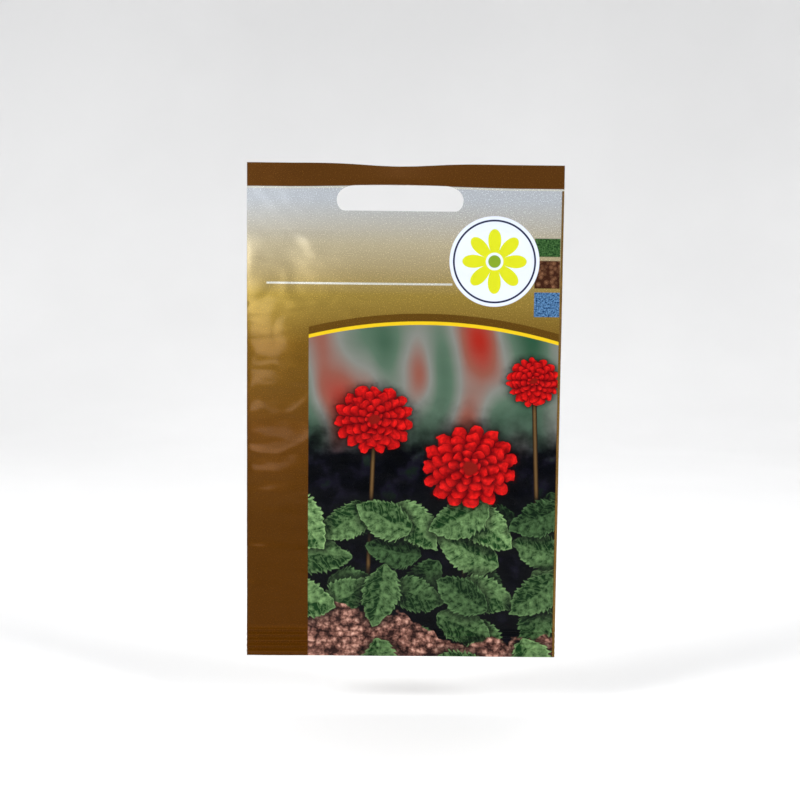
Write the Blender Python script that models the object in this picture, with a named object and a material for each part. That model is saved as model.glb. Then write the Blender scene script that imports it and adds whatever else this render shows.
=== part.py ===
"""Film seed packet with loose seeds inside, hanging by the slot in its header.

Metres, +Z up. The origin lies on the upper edge of the hang slot, where a peg carries the packet.
The printed front faces -Y, and +X is to the right as the front is seen.

The packet is one web of film, folded round at its left and right edges. A fin seam down the middle of the
back joins its two sides, and is folded flat. The top is sealed flat as a header, the bottom is crimped.
"""

import math
import random

import bmesh
import bpy
import numpy as np

# Driving sizes of the packet
WIDTH = 0.0800
HEIGHT = 0.1265
STRIP = 0.0058
HEADER_SEAL = 0.0170
BOTTOM_SEAL = 0.0078
SWELL = 0.0024
SLOT_OFFSET = 0.0014

# Film: half the thickness where both plies are welded, and the wall left round the pouch
PLY = 0.00020
WALL = 0.00016

# Hang slot, with a long soft curve at its upper corners and a tighter one below
SLOT_WIDTH = 0.0320
SLOT_HEIGHT = 0.0060
SLOT_UPPER_CORNER = (0.0046, 0.0031)
SLOT_LOWER_CORNER = (0.0021, 0.0027)
SLOT_CUT_DEPTH = 0.012

# The strip above the slot leans back at its middle
LEAN = math.radians(38)
LEAN_HALF_SPAN = 0.030
LEAN_ARC = 0.0024
LIFT = 0.0005
LIFT_REACH = 0.0040

# Crimps of the bottom seal
CRIMPS = 5
CRIMP_PITCH = 0.00147
CRIMP_DEPTH = 0.00022
ROWS_PER_CRIMP = 4

# Fin seam on the back: its plies stay unwelded by a slit, which opens the pouch to the air
FIN_WIDTH = 0.0090
FIN_THICKNESS = 0.00050
FIN_EDGE = 0.0001
SLIT = 0.00010
SLIT_INSET = 0.0003
SLIT_END = 0.0030

# Seeds
SEED_HALF_SIZE = (0.00155, 0.00065, 0.00095)
SEED_SPACING = 0.0023
SEED_ROWS = (11, 9, 7, 4)
SEED_CLEARANCE = 0.00035
SEED_SIDES = 8
SEED_RINGS = 5
RANDOM_SEED = 7

# Heights and edges that follow from the driving sizes
TOP = STRIP
BOTTOM = STRIP - HEIGHT
POUCH_TOP = STRIP - HEADER_SEAL
POUCH_BOTTOM = BOTTOM + BOTTOM_SEAL
MIDDLE_X = SLOT_OFFSET
HALF_WIDTH = WIDTH / 2
FIN_ROOT = MIDDLE_X + FIN_WIDTH / 2
FIN_FREE = MIDDLE_X - FIN_WIDTH / 2

FILM_COLOUR = (0.36, 0.23, 0.07)
SEED_COLOUR = (0.075, 0.043, 0.026)


def clear_scene():
    """Remove whatever the scene holds."""
    for thing in list(bpy.data.objects):
        bpy.data.objects.remove(thing, do_unlink=True)


def plain_material(name, colour, roughness, metallic):
    """A Principled material in one colour."""
    material = bpy.data.materials.new(name)
    material.use_nodes = True
    shader = material.node_tree.nodes["Principled BSDF"]
    shader.inputs["Base Color"].default_value = (*colour, 1.0)
    shader.inputs["Roughness"].default_value = roughness
    shader.inputs["Metallic"].default_value = metallic
    return material


def add_object(name, mesh):
    """Put a mesh in the scene as an object of the same name."""
    thing = bpy.data.objects.new(name, mesh)
    bpy.context.scene.collection.objects.link(thing)
    return thing


def as_cutter(thing):
    """Mark an object as a cutting shape only."""
    thing.hide_render = True
    thing.display_type = "WIRE"
    return thing


def ease(value):
    """Smooth step from 0 to 1."""
    share = np.clip(value, 0.0, 1.0)
    return share * share * (3.0 - 2.0 * share)


def swell(x, z):
    """How far each face of the pouch stands out from its welded thickness, a pillow shape."""
    across = np.clip(np.abs(x - MIDDLE_X) / HALF_WIDTH, 0.0, 1.0)
    up = np.clip((z - POUCH_BOTTOM) / (POUCH_TOP - POUCH_BOTTOM), 0.0, 1.0)
    side_shape = (1.0 - across**2.2) ** 0.75
    height_shape = np.maximum(1.0 - np.abs(2.0 * up**0.85 - 1.0) ** 2.6, 0.0) ** 0.7
    return SWELL * side_shape * height_shape


def crimp(z):
    """How far the bottom seal's waves push both plies forward or back."""
    phase = (z - BOTTOM) / CRIMP_PITCH
    fade = ease((CRIMPS - phase) / 0.5)
    return CRIMP_DEPTH * np.sin(2.0 * math.pi * phase) * fade


def lean(x, y, z):
    """Bend the strip above the slot back about the slot's upper edge, most at its middle."""
    bump = np.cos(np.clip(x / LEAN_HALF_SPAN, -1.0, 1.0) * math.pi / 2) ** 2
    raised = z + LIFT * bump * ease((z + LIFT_REACH) / LIFT_REACH)
    angle = np.maximum(LEAN * bump, 1e-4)
    along = np.clip(raised, 0.0, None)
    turned = angle * np.clip(along / LEAN_ARC, 0.0, 1.0)
    radius = LEAN_ARC / angle
    straight = np.clip(along - LEAN_ARC, 0.0, None)
    back = radius * (1.0 - np.cos(turned)) + straight * np.sin(turned)
    rise = radius * np.sin(turned) + straight * np.cos(turned)
    out_y = back + y * np.cos(turned)
    out_z = np.where(raised > 0.0, rise, raised) - y * np.sin(turned)
    return out_y, out_z


def column_positions():
    """Columns across the packet, closer at the folded edges, with pairs at the fin's two edges."""
    share = np.linspace(-1.0, 1.0, 25)
    spread = 0.55 * share + 0.45 * np.sin(share * math.pi / 2)
    columns = list(MIDDLE_X + HALF_WIDTH * spread)
    edges = (FIN_FREE, FIN_ROOT)
    kept = [x for x in columns if min(abs(x - edge) for edge in edges) > 0.0012]
    pairs = [FIN_FREE - FIN_EDGE, FIN_FREE, FIN_ROOT, FIN_ROOT + FIN_EDGE]
    return np.array(sorted(kept + pairs))


def row_heights():
    """Rows up the packet: fine through the crimps, closer near both seals, fine in the bent strip."""
    crimps = BOTTOM + CRIMP_PITCH * np.arange(CRIMPS * ROWS_PER_CRIMP + 1) / ROWS_PER_CRIMP
    share = np.linspace(0.0, 1.0, 27)
    spread = 0.6 * share + 0.4 * (1.0 - np.cos(share * math.pi)) / 2
    pouch = POUCH_BOTTOM + (POUCH_TOP - POUCH_BOTTOM) * spread
    header = np.linspace(POUCH_TOP, -LIFT_REACH, 4)[1:]
    fold = np.linspace(-LIFT_REACH, 0.0, 4)[1:]
    strip = np.linspace(0.0, TOP, 7)[1:]
    return np.concatenate([crimps, pouch, header, fold, strip])


def sheet_mesh(name, front, back):
    """Closed mesh between two grids of points, given row by row from below and from left to right."""
    rows, columns = front.shape[:2]
    mesh = bmesh.new()
    front_points = [[mesh.verts.new(point) for point in row] for row in front]
    back_points = [[mesh.verts.new(point) for point in row] for row in back]
    for row in range(rows - 1):
        for column in range(columns - 1):
            here = (slice(row, row + 2), slice(column, column + 2))
            (a, b), (d, c) = (points[here[1]] for points in front_points[here[0]])
            mesh.faces.new((a, b, c, d))
            (a, b), (d, c) = (points[here[1]] for points in back_points[here[0]])
            mesh.faces.new((a, d, c, b))
    for row in range(rows - 1):
        for column in (0, columns - 1):
            lower = (front_points[row][column], back_points[row][column])
            upper = (back_points[row + 1][column], front_points[row + 1][column])
            mesh.faces.new(lower + upper)
    for column in range(columns - 1):
        for row in (0, rows - 1):
            left = (front_points[row][column], back_points[row][column])
            right = (back_points[row][column + 1], front_points[row][column + 1])
            mesh.faces.new(left + right)
    bmesh.ops.recalc_face_normals(mesh, faces=mesh.faces)
    return finish_mesh(name, mesh)


def finish_mesh(name, mesh):
    """Turn a bmesh into a mesh of the given name."""
    data = bpy.data.meshes.new(name)
    mesh.to_mesh(data)
    mesh.free()
    return data


def stack(x, y, z):
    """Points from three arrays of one shape."""
    return np.stack(np.broadcast_arrays(x, y, z), axis=-1)


def web_mesh():
    """The packet's outside: both faces of the pouch, the seals, the crimps and the fin's raised strip."""
    x, z = np.meshgrid(column_positions(), row_heights())
    out = PLY + swell(x, z)
    wave = crimp(z)
    on_fin = (x > FIN_FREE - FIN_EDGE / 2) & (x < FIN_ROOT + FIN_EDGE / 2)
    front_y, front_z = lean(x, wave - out, z)
    back_y, back_z = lean(x, wave + out + FIN_THICKNESS * on_fin, z)
    return sheet_mesh("film_pouch", stack(x, front_y, front_z), stack(x, back_y, back_z))


def pouch_rows():
    """Rows of the pouch itself, a little clear of both seals."""
    rows = row_heights()
    return rows[(rows > POUCH_BOTTOM + 0.0003) & (rows < POUCH_TOP - 0.0003)]


def hollow_mesh():
    """The space inside the pouch, parallel to the outside."""
    x, z = np.meshgrid(column_positions()[1:-1], pouch_rows())
    out = PLY - WALL + swell(x, z)
    return sheet_mesh("pouch_hollow", stack(x, -out, z), stack(x, out, z))


def slit_mesh():
    """The open slit between the fin's plies, from the pouch out to the fin's free edge."""
    rows = pouch_rows()
    rows = rows[(rows > POUCH_BOTTOM + SLIT_END) & (rows < POUCH_TOP - SLIT_END)]
    near = FIN_ROOT - SLIT_INSET
    far = FIN_FREE - 4 * FIN_EDGE
    middle = (FIN_THICKNESS - SLIT) / 2
    mesh = bmesh.new()
    rings = []
    for z in rows:
        back = PLY + float(swell(MIDDLE_X, z))
        outline = (
            (far, back + middle),
            (near - SLIT, back + middle),
            (near - SLIT, back - 3 * PLY),
            (near, back - 3 * PLY),
            (near, back + middle + SLIT),
            (far, back + middle + SLIT),
        )
        rings.append([mesh.verts.new((x, y, z)) for x, y in outline])
    for lower, upper in zip(rings, rings[1:]):
        for one in range(len(lower)):
            two = (one + 1) % len(lower)
            mesh.faces.new((lower[one], lower[two], upper[two], upper[one]))
    mesh.faces.new(rings[0])
    mesh.faces.new(rings[-1])
    bmesh.ops.recalc_face_normals(mesh, faces=mesh.faces)
    return finish_mesh("fin_slit", mesh)


def corner_points(centre, radii, start):
    """A quarter of an ellipse, anticlockwise from the start angle."""
    angles = np.radians(start + np.linspace(0.0, 90.0, 7))
    return [(centre[0] + radii[0] * math.cos(a), centre[1] + radii[1] * math.sin(a)) for a in angles]


def slot_outline():
    """The hang slot's outline in X and Z, its upper edge at the origin's height."""
    half = SLOT_WIDTH / 2
    wide_up, tall_up = SLOT_UPPER_CORNER
    wide_low, tall_low = SLOT_LOWER_CORNER
    low = -SLOT_HEIGHT
    points = corner_points((half - wide_up, -tall_up), SLOT_UPPER_CORNER, 0)
    points += corner_points((wide_up - half, -tall_up), SLOT_UPPER_CORNER, 90)
    points += corner_points((wide_low - half, low + tall_low), SLOT_LOWER_CORNER, 180)
    points += corner_points((half - wide_low, low + tall_low), SLOT_LOWER_CORNER, 270)
    return points


def slot_mesh():
    """A prism through both plies in the slot's outline."""
    mesh = bmesh.new()
    outline = [mesh.verts.new((x, -SLOT_CUT_DEPTH / 2, z)) for x, z in slot_outline()]
    face = mesh.faces.new(outline)
    grown = bmesh.ops.extrude_face_region(mesh, geom=[face])
    moved = [item for item in grown["geom"] if isinstance(item, bmesh.types.BMVert)]
    bmesh.ops.translate(mesh, vec=(0.0, SLOT_CUT_DEPTH, 0.0), verts=moved)
    bmesh.ops.recalc_face_normals(mesh, faces=mesh.faces)
    return finish_mesh("slot_cutter", mesh)


def cut_away(thing, cutter):
    """Take one shape out of another with a Boolean that stays on it."""
    step = thing.modifiers.new(cutter.name, "BOOLEAN")
    step.operation = "DIFFERENCE"
    step.solver = "EXACT"
    step.object = cutter


def make_film_pouch():
    """The folded and sealed web with its hang slot."""
    film = add_object("film_pouch", web_mesh())
    film.data.materials.append(plain_material("printed_film", FILM_COLOUR, 0.25, 0.3))
    for mesh in (hollow_mesh(), slit_mesh(), slot_mesh()):
        cut_away(film, as_cutter(add_object(mesh.name, mesh)))
    return film


def lowest_seat(x):
    """The lowest height at which a seed of full thickness fits between the pouch's walls."""
    need = SEED_HALF_SIZE[1] + SEED_CLEARANCE
    height = POUCH_BOTTOM
    while float(swell(x, height)) < need:
        height += 0.0001
    return height + SEED_HALF_SIZE[2]


def seed_mesh(turn):
    """One seed, a flattened egg with its long way turned in the packet's plane."""
    mesh = bmesh.new()
    bmesh.ops.create_uvsphere(mesh, u_segments=SEED_SIDES, v_segments=SEED_RINGS, radius=1.0)
    cos, sin = math.cos(turn), math.sin(turn)
    for vert in mesh.verts:
        long, thick, wide = vert.co.z, vert.co.x, vert.co.y
        narrow = 1.0 - 0.18 * long
        along = SEED_HALF_SIZE[0] * long
        across = SEED_HALF_SIZE[2] * wide * narrow
        vert.co = (along * cos - across * sin, SEED_HALF_SIZE[1] * thick, along * sin + across * cos)
    bmesh.ops.recalc_face_normals(mesh, faces=mesh.faces)
    return finish_mesh("seed", mesh)


def make_seeds():
    """The drift of seeds at the pouch's bottom, joined where they touch."""
    rng = random.Random(RANDOM_SEED)
    loose = bpy.data.collections.new("loose_seeds")
    bpy.context.scene.collection.children.link(loose)
    row_step = 1.6 * SEED_HALF_SIZE[2]
    for row, count in enumerate(SEED_ROWS):
        for place in range(count):
            x = MIDDLE_X + (place - (count - 1) / 2) * SEED_SPACING + rng.uniform(-0.0002, 0.0002)
            z = lowest_seat(x) + row * row_step + rng.uniform(0.0, 0.0002)
            y = rng.uniform(-1.0, 1.0) * min(0.00008 * (1 + row), 0.0003)
            seed = bpy.data.objects.new("seed", seed_mesh(rng.uniform(-0.6, 0.6)))
            seed.location = (x, y, z)
            loose.objects.link(seed)
    first = loose.objects[0]
    drift = add_object("seeds", first.data.copy())
    drift.location = first.location
    loose.objects.unlink(first)
    bpy.data.objects.remove(first)
    step = drift.modifiers.new("join", "BOOLEAN")
    step.operation = "UNION"
    step.solver = "EXACT"
    step.operand_type = "COLLECTION"
    step.collection = loose
    bpy.context.view_layer.update()
    joined = bpy.data.meshes.new_from_object(drift.evaluated_get(bpy.context.evaluated_depsgraph_get()))
    drift.modifiers.clear()
    drift.data = joined
    drift.data.name = "seeds"
    for seed in list(loose.objects):
        bpy.data.objects.remove(seed, do_unlink=True)
    bpy.data.collections.remove(loose)
    drift.data.materials.clear()
    drift.data.materials.append(plain_material("seed_coat", SEED_COLOUR, 0.65, 0.0))
    return drift


def main():
    clear_scene()
    make_film_pouch()
    make_seeds()


main()
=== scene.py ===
"""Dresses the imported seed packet: its folded film with print and foil, the seeds inside and a studio."""

import math
import random

import bpy
import numpy as np
from mathutils import Matrix, Vector


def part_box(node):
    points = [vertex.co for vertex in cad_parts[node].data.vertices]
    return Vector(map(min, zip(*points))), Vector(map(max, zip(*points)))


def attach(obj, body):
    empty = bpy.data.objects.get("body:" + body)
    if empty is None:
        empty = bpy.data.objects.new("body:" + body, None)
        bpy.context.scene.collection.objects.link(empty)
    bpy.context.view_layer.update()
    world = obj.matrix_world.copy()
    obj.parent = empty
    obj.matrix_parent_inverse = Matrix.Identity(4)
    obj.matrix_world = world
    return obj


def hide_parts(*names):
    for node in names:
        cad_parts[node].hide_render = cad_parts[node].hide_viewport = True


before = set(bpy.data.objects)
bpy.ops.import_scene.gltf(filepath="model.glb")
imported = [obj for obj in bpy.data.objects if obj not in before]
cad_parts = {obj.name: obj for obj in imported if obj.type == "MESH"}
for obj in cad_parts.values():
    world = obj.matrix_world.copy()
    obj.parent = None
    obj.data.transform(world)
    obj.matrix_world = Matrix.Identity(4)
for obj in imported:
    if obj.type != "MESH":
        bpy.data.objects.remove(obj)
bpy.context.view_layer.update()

bl_info = {
    "name": "Seed Packet",
    "version": (1, 0, 0),
    "blender": (4, 5, 0),
    "location": "3D View > Sidebar > Seed Packet",
    "description": "Builds a printed film seed packet with its seeds, on a plain studio floor",
    "category": "Add Mesh",
}

BODY = "root"
MM = 0.001
FILM_LOW, FILM_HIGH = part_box("film_pouch")
SEEDS_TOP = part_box("seeds")[1].z
PLACE_MAP = "WebPlace"
TINY = 1e-7
JUST_OVER = 1.0001

# Half the soft edge of the print, in millimetres
BLUR = 0.1

# The strip above the slot leans back at its middle
LEAN = math.radians(38)
LEAN_HALF_SPAN = 30 * MM
LEAN_ARC = 2.4 * MM
LEAST_ANGLE = 1e-4
LIFT = 0.5 * MM
LIFT_REACH = 4.0 * MM

# Crimps of the bottom seal, and the share of one over which they fade out at the top
CRIMPS = 5
CRIMP_PITCH = 1.47 * MM
CRIMP_DEPTH = 0.21 * MM
CRIMP_FADE = 0.5
ROWS_PER_CRIMP = 10

# Corners of the slot: how far along it the soft upper and the tight lower curves reach
UPPER_CORNER = 4.6 * MM
LOWER_CORNER = 2.1 * MM

# Grid of the film
COLUMN_STEP = 0.56 * MM
CORNER_COLUMNS = 12
POUCH_ROWS = 180
EVEN_SPREAD, EASED_SPREAD = 0.8, 0.2
HEADER_ROWS_BELOW = 16
HEADER_ROWS_ABOVE = 18
FOLD_ROUND = 0.12 * MM
FIN_STEP = 0.06 * MM
FIN_UNDERCUT = 0.08 * MM
SHARP = math.radians(40)

# Relief of the film: number and pace of its waves, then each kind's depth and its waves' width and height
WAVES = 16
SLOWEST, QUICKEST = 0.5, 1.4
CREASE_WIDTH = 0.16
DENTS = (0.11 * MM, 34 * MM, 44 * MM)
RIPPLES = (0.040 * MM, 40 * MM, 6.5 * MM)
FINE_RIPPLES = (0.012 * MM, 14 * MM, 2.6 * MM)
RIDGES = (0.050 * MM, 30 * MM, 30 * MM)
GROOVES = (-0.035 * MM, 44 * MM, 24 * MM)
CRIMP_PUCKERS = (0.11 * MM, 7 * MM, 90 * MM)
HEADER_PUCKERS = (0.09 * MM, 11 * MM, 90 * MM)
SEAL_WAVES = (0.07 * MM, 30 * MM, 34 * MM)
SEAL_RIPPLES = (0.012 * MM, 7 * MM, 8 * MM)
FRONT_DRAW, BACK_DRAW, SEAL_DRAW = 11, 31, 51

# How far from the seals the faces' relief and the puckers fade in, and how far the puckers run
BODY_EDGE = 7 * MM
SEAL_EDGE = 2.5 * MM
CRIMP_PUCKER_REACH = 7 * MM
HEADER_PUCKER_REACH = 9 * MM

# Seeds, drawn in the same order as they lie in the packet's solids
SEED_HALF_SIZE = (1.55 * MM, 0.65 * MM, 0.95 * MM)
SEED_SPACING = 2.3 * MM
SEED_ROWS = (11, 9, 7, 4)
SEED_ROW_STEP = 1.6 * SEED_HALF_SIZE[2]
SEED_CLEARANCE = 0.35 * MM
SEAT_STEP = 0.1 * MM
SEED_SIDES = 18
SEED_RINGS = 12
RANDOM_SEED = 7
SOLID_SWELL = 2.4 * MM

# Seeded shifts of a seed in millimetres: along, up, and out by its row and at most. Its turn is in radians
SEED_ALONG, SEED_UP, SEED_OUT_PER_ROW, SEED_OUT_MOST = 0.2, 0.2, 0.08, 0.3
SEED_TURN = 0.6

# Shape of a seed: how much narrower one end is, its furrows and their depth
SEED_TAPER = 0.18
FURROWS = 3
FURROW_DEPTH = 0.03


def length_choice(name, description, default, least, most):
    """A length that a user may change, with its default and limits in millimetres."""
    return bpy.props.FloatProperty(
        name=name, description=description, default=default * MM,
        min=least * MM, max=most * MM, unit="LENGTH",
    )


class PacketSizes(bpy.types.PropertyGroup):
    """Sizes of the packet."""

    width: length_choice("Width", "Width across the folds", (FILM_HIGH.x - FILM_LOW.x) / MM, 30, 300)
    strip: length_choice("Strip", "Height of the strip above the hang slot", 5.8, 2, 30)
    header_seal: length_choice("Header seal", "Height of the flat sealed header", 17.0, 10, 50)
    bottom_seal: length_choice("Bottom seal", "Height of the crimped bottom seal", 7.8, 4, 30)
    swell: length_choice("Swell", "How far each face of the pouch stands out at the fullest", 2.2, 0, 20)
    ply: length_choice("Film", "Half the thickness of the welded film", 0.14, 0.05, 1)
    slot_width: length_choice("Slot width", "Width of the hang slot", 32.0, 8, 60)
    slot_above: length_choice("Slot above", "Height of the slot above its widest line", 3.2, 1, 10)
    slot_below: length_choice("Slot below", "Height of the slot below its widest line", 2.8, 1, 10)
    fin_width: length_choice("Fin", "Width of the seam's fin, folded flat on the back", 9.0, 4, 20)
    fin_thickness: length_choice("Fin thickness", "How far the fin stands off the back", 0.42, 0.1, 2)
    crinkle: bpy.props.FloatProperty(
        name="Crinkle", description="Depth of the film's dents and creases, as a share of the usual",
        default=1.0, min=0.0, max=3.0,
    )


def linear(red, green, blue):
    """A screen colour, each part from 0 to 255, as linear light."""
    parts = (part / 255 for part in (red, green, blue))
    return tuple(part / 12.92 if part <= 0.04045 else ((part + 0.055) / 1.055) ** 2.4 for part in parts)


def colour_choice(name, description, *screen):
    """A colour that a user may change."""
    return bpy.props.FloatVectorProperty(
        name=name, description=description, default=linear(*screen),
        size=3, min=0.0, max=1.0, subtype="COLOR",
    )


class PacketColours(bpy.types.PropertyGroup):
    """Colours of the packet's print and seeds."""

    header: colour_choice("Header", "Band along the top", 101, 62, 20)
    gold: colour_choice("Gold", "The right fold and the fin", 122, 92, 44)
    arch: colour_choice("Arch", "Line over the picture", 218, 184, 30)
    leaves: colour_choice("Leaves", "Lightest green of the leaves", 136, 172, 112)
    petals: colour_choice("Petals", "Tips of the petals", 214, 24, 22)
    badge: colour_choice("Badge", "Disc of the badge", 212, 219, 236)
    flower: colour_choice("Badge flower", "Petals of the badge's flower", 200, 204, 34)
    panels: colour_choice("Panels", "Bare panels on the back", 226, 220, 204)
    seeds: colour_choice("Seeds", "Light parts of the seeds' coats", 92, 64, 44)


class Web:
    """The packet's places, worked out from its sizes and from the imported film."""

    def __init__(self, sizes):
        self.sizes = sizes
        self.middle = (FILM_LOW.x + FILM_HIGH.x) / 2
        self.half = sizes.width / 2
        self.bottom = FILM_LOW.z
        self.top = sizes.strip
        self.pouch_top = self.top - sizes.header_seal
        self.pouch_bottom = self.bottom + sizes.bottom_seal
        self.slit = -sizes.slot_above
        self.slot_half = sizes.slot_width / 2
        self.fin_root = self.middle + sizes.fin_width / 2
        self.fin_free = self.middle - sizes.fin_width / 2


def ease(value):
    """Smooth step from 0 to 1."""
    share = np.clip(value, 0.0, 1.0)
    return share * share * (3.0 - 2.0 * share)


def undulation(x, y, wide, tall, seed):
    """A sum of sine waves in seeded directions, about wide by tall, over the root of their number."""
    rng = np.random.default_rng(seed)
    across = 2 * math.pi / wide * rng.uniform(-QUICKEST, QUICKEST, WAVES)
    up = 2 * math.pi / tall * rng.uniform(SLOWEST, QUICKEST, WAVES)
    phase = rng.uniform(0.0, 2 * math.pi, WAVES)
    total = sum(np.sin(run * x + rise * y + start) for run, rise, start in zip(across, up, phase))
    return total / math.sqrt(WAVES)


def creases(x, y, wide, tall, seed):
    """Thin ridges along the lines where an undulation crosses zero."""
    return np.exp(-((undulation(x, y, wide, tall, seed) / CREASE_WIDTH) ** 2))


def relief(kind, x, y, seed, shape=undulation):
    """One kind of relief: its depth times its waves or creases."""
    depth, wide, tall = kind
    return depth * shape(x, y, wide, tall, seed)


def swell(web, x, z, fullest):
    """Pillow shape of each face: the fullest times (1 - a^2.2)^0.75 times (1 - |2 u^0.85 - 1|^2.6)^0.7.
    Here a goes from 0 at the middle to 1 at a fold, and u from 0 at the lower seal to 1 at the header."""
    across = np.clip(np.abs(x - web.middle) / web.half, 0.0, 1.0)
    up = np.clip((z - web.pouch_bottom) / (web.pouch_top - web.pouch_bottom), 0.0, 1.0)
    side_shape = (1.0 - across**2.2) ** 0.75
    height_shape = np.maximum(1.0 - np.abs(2.0 * up**0.85 - 1.0) ** 2.6, 0.0) ** 0.7
    return fullest * side_shape * height_shape


def crimp(web, z):
    """Sine waves across the bottom seal, one for each crimp, fading out at its top."""
    phase = (z - web.bottom) / CRIMP_PITCH
    return CRIMP_DEPTH * np.sin(2.0 * math.pi * phase) * ease((CRIMPS - phase) / CRIMP_FADE)


def lean(x, y, z):
    """Bend the strip above the slot back along an arc, then a straight. The bend is most at the slot's
    middle and falls off to both sides as a squared cosine."""
    bump = np.cos(np.clip(x / LEAN_HALF_SPAN, -1.0, 1.0) * math.pi / 2) ** 2
    raised = z + LIFT * bump * ease((z + LIFT_REACH) / LIFT_REACH)
    angle = np.maximum(LEAN * bump, LEAST_ANGLE)
    along = np.clip(raised, 0.0, None)
    turned = angle * np.clip(along / LEAN_ARC, 0.0, 1.0)
    radius = LEAN_ARC / angle
    straight = np.clip(along - LEAN_ARC, 0.0, None)
    back = radius * (1.0 - np.cos(turned)) + straight * np.sin(turned)
    rise = radius * np.sin(turned) + straight * np.cos(turned)
    out_y = back + y * np.cos(turned)
    out_z = np.where(raised > 0.0, rise, raised) - y * np.sin(turned)
    return out_y, out_z


def open_slot(web, x, z, above):
    """Part the film along the slot's widest line: each lip moves out to a straight middle with
    quarter-ellipse ends, and the film beyond closes up evenly towards the header's edges."""
    reach = np.where(above, UPPER_CORNER, LOWER_CORNER)
    gape = np.where(above, web.sizes.slot_above, web.sizes.slot_below)
    into_corner = np.clip((np.abs(x) - (web.slot_half - reach)) / reach, 0.0, 1.0)
    lip = gape * np.sqrt(1.0 - into_corner**2)
    room = np.where(above, web.top - web.slit, web.slit - web.pouch_top)
    away = np.clip(np.abs(z - web.slit) / room, 0.0, 1.0)
    moved = np.where(above, 1.0, -1.0) * (lip + (room - lip) * away)
    return np.where(np.abs(z - web.slit) < room * JUST_OVER, web.slit + moved, z)


def column_places(web):
    """Columns across: even steps, closer at the slot's ends, with one on each edge of the fin."""
    angles = np.linspace(0.0, math.pi / 2, CORNER_COLUMNS + 1)
    corner = web.slot_half - UPPER_CORNER + UPPER_CORNER * np.sin(angles)
    stops = [
        web.middle - web.half + FOLD_ROUND, -web.slot_half, -corner[0],
        web.fin_free, web.fin_root, web.fin_root + FIN_STEP,
        corner[0], web.slot_half, web.middle + web.half - FOLD_ROUND,
    ]
    spans = list(zip(stops, stops[1:]))
    counts = [max(2, round((end - start) / COLUMN_STEP) + 1) for start, end in spans]
    even = [np.linspace(*span, count) for span, count in zip(spans, counts)]
    corners = {1: -corner, len(spans) - 2: corner}
    parts = [corners.get(place, part) for place, part in enumerate(even)]
    return np.unique(np.round(np.concatenate(parts), 9))


def row_places(web):
    """Rows up the packet, fine through the crimps. The slot's line comes twice, once for each lip."""
    crimps = web.bottom + CRIMP_PITCH * np.arange(CRIMPS * ROWS_PER_CRIMP + 1) / ROWS_PER_CRIMP
    share = np.linspace(0.0, 1.0, POUCH_ROWS)
    spread = EVEN_SPREAD * share + EASED_SPREAD * (1.0 - np.cos(share * math.pi)) / 2
    pouch = web.pouch_bottom + (web.pouch_top - web.pouch_bottom) * spread
    below = np.linspace(web.pouch_top, web.slit, HEADER_ROWS_BELOW + 1)[1:]
    above = np.linspace(web.slit, web.top, HEADER_ROWS_ABOVE + 1)
    lower = np.concatenate([crimps, pouch, below])
    return np.concatenate([lower, above]), len(lower)


def face_relief(web, along, z, seed):
    """How far a face is pushed off its pillow shape: broad dents, ripples across, creases, and puckers
    that run up from the crimps and down from the header, all read at its place along the web."""
    low, high = z - web.pouch_bottom, web.pouch_top - z
    body = ease(low / BODY_EDGE) * ease(high / BODY_EDGE)
    near_seal = ease(low / SEAL_EDGE) * ease(high / SEAL_EDGE)
    off_crimps = np.exp(-np.clip(low, 0.0, None) / CRIMP_PUCKER_REACH)
    off_header = np.exp(-np.clip(high, 0.0, None) / HEADER_PUCKER_REACH)
    dents = relief(DENTS, along, z, seed)
    ripples = relief(RIPPLES, along, z, seed + 1) + relief(FINE_RIPPLES, along, z, seed + 2)
    thin = relief(RIDGES, along, z, seed + 3, creases) + relief(GROOVES, along, z, seed + 4, creases)
    puckers = relief(CRIMP_PUCKERS, along, z, seed + 5) * off_crimps
    puckers = puckers + relief(HEADER_PUCKERS, along, z, seed + 6) * off_header
    return web.sizes.crinkle * ((dents + ripples + thin) * body + puckers * near_seal)


def seal_wave(web, x, z):
    """The slight common waviness of both plies, which the welded seals show best."""
    wave = relief(SEAL_WAVES, x, z, SEAL_DRAW) + relief(SEAL_RIPPLES, x, z, SEAL_DRAW + 1)
    return web.sizes.crinkle * wave


class Ring:
    """The columns taken once round the packet: from under the fin's free edge left to the fold, across the
    front to the right fold, and back over the fin to its free edge."""

    def __init__(self, web):
        columns = column_places(web)
        self.count = len(columns)
        self.free = int(np.argmin(np.abs(columns - web.fin_free)))
        back_left = columns[: self.free + 1][::-1].copy()
        back_left[0] += FIN_UNDERCUT
        back_right = columns[self.free :][::-1]
        folds = ([web.middle - web.half], [web.middle + web.half])
        self.x = np.concatenate([back_left, folds[0], columns, folds[1], back_right])
        self.left_fold = len(back_left)
        self.right_fold = self.left_fold + self.count + 1
        number = np.arange(self.count)
        self.front = self.left_fold + 1 + number
        past_fold = self.right_fold + self.count - number
        self.back = np.where(number < self.free, self.free - number, past_fold)
        place = np.arange(len(self.x))
        on_front = (place > self.left_fold) & (place < self.right_fold)
        on_fold = (place == self.left_fold) | (place == self.right_fold)
        self.side = np.where(on_fold, 0.0, np.where(on_front, -1.0, 1.0))
        turn = np.where(place < self.left_fold, -2.0, 2.0) * web.half
        across = self.x - web.middle
        self.along = np.where(on_front | on_fold, across, turn - across)
        self.on_fin = (place > self.right_fold) & (self.x < web.fin_root + FIN_STEP / 2)
        self.on_slot = np.abs(self.x) < web.slot_half - TINY


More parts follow.
